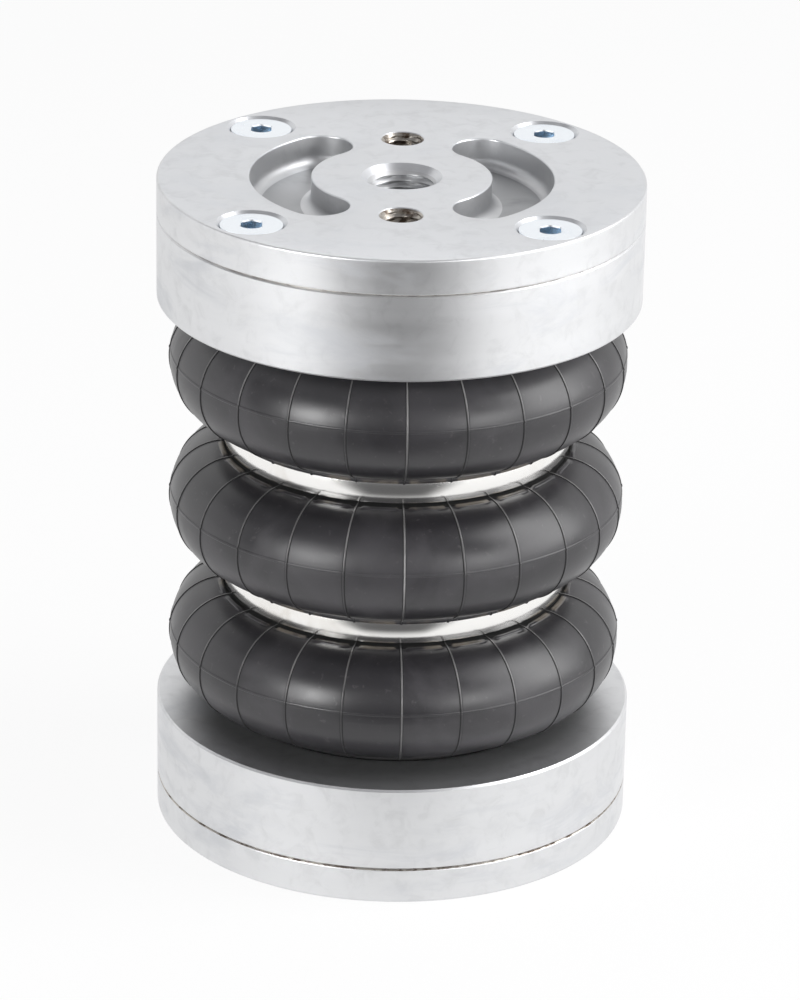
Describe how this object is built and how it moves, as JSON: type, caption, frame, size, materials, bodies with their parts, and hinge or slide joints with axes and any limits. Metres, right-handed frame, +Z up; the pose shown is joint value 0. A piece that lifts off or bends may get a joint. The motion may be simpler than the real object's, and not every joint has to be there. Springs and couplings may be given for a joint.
{
  "type": "air bellows actuator",
  "caption": "Short-stroke air bellows actuator: convoluted rubber bellows with steel girdle hoops, clamped between aluminium end plates with an air port and tapped mounting holes.",
  "frame": {"origin": "centre of the lower end plate's outer face, on the bellows' axis", "axes": "+Z up along the stroke towards the air port, Y through the pairs of mounting holes, X through the pockets of the end plates"},
  "size_m": [0.094, 0.094, 0.132],
  "materials": {
    "turned_aluminium": "turned and satin",
    "bright_zinc": "bright zinc plated",
    "polished_steel": "polished",
    "wire_steel": "brass-coated bead wire",
    "cover_rubber": "moulded, satin",
    "liner_rubber": "moulded, matt",
    "cord_fabric": "rubbered cord"
  },
  "bodies": {
    "base": {"lower_end_plate": "turned_aluminium", "lower_clamp_ring": "turned_aluminium", "lower_bead_wire": "wire_steel", "lower_clamp_screw_1": "bright_zinc", "lower_clamp_screw_2": "bright_zinc", "lower_clamp_screw_3": "bright_zinc", "lower_clamp_screw_4": "bright_zinc"},
    "lower_convolution": {"lower_cover": "cover_rubber", "lower_cord_ply": "cord_fabric", "lower_liner": "liner_rubber"},
    "lower_hoop": {"lower_girdle_hoop": "polished_steel"},
    "middle_convolution": {"middle_cover": "cover_rubber", "middle_cord_ply": "cord_fabric", "middle_liner": "liner_rubber"},
    "upper_hoop": {"upper_girdle_hoop": "polished_steel"},
    "upper_convolution": {"upper_cover": "cover_rubber", "upper_cord_ply": "cord_fabric", "upper_liner": "liner_rubber"},
    "top": {"upper_end_plate": "turned_aluminium", "upper_clamp_ring": "turned_aluminium", "upper_bead_wire": "wire_steel", "upper_clamp_screw_1": "bright_zinc", "upper_clamp_screw_2": "bright_zinc", "upper_clamp_screw_3": "bright_zinc", "upper_clamp_screw_4": "bright_zinc"}
  },
  "joints": [
    {"name": "lower_convolution_stroke", "type": "slide", "parent": "base", "child": "lower_convolution", "axis": [0, 0, 1], "range_m": [-0.008, 0.003], "stiffness_N_per_m": 24000, "deforming": ["lower_cover", "lower_cord_ply", "lower_liner"]},
    {"name": "lower_hoop_stroke", "type": "slide", "parent": "lower_convolution", "child": "lower_hoop", "axis": [0, 0, 1], "range_m": [-0.008, 0.003], "stiffness_N_per_m": 24000},
    {"name": "middle_convolution_stroke", "type": "slide", "parent": "lower_hoop", "child": "middle_convolution", "axis": [0, 0, 1], "range_m": [-0.008, 0.003], "stiffness_N_per_m": 24000, "deforming": ["middle_cover", "middle_cord_ply", "middle_liner"]},
    {"name": "upper_hoop_stroke", "type": "slide", "parent": "middle_convolution", "child": "upper_hoop", "axis": [0, 0, 1], "range_m": [-0.008, 0.003], "stiffness_N_per_m": 24000},
    {"name": "upper_convolution_stroke", "type": "slide", "parent": "upper_hoop", "child": "upper_convolution", "axis": [0, 0, 1], "range_m": [-0.008, 0.003], "stiffness_N_per_m": 24000, "deforming": ["upper_cover", "upper_cord_ply", "upper_liner"]},
    {"name": "top_stroke", "type": "slide", "parent": "upper_convolution", "child": "top", "axis": [0, 0, 1], "range_m": [-0.008, 0.003], "stiffness_N_per_m": 24000}
  ],
  "couplings": [
    {"joint": "lower_hoop_stroke", "follows": "lower_convolution_stroke", "ratio": 1},
    {"joint": "middle_convolution_stroke", "follows": "lower_convolution_stroke", "ratio": 1},
    {"joint": "upper_hoop_stroke", "follows": "lower_convolution_stroke", "ratio": 1},
    {"joint": "upper_convolution_stroke", "follows": "lower_convolution_stroke", "ratio": 1},
    {"joint": "top_stroke", "follows": "lower_convolution_stroke", "ratio": 1}
  ]
}
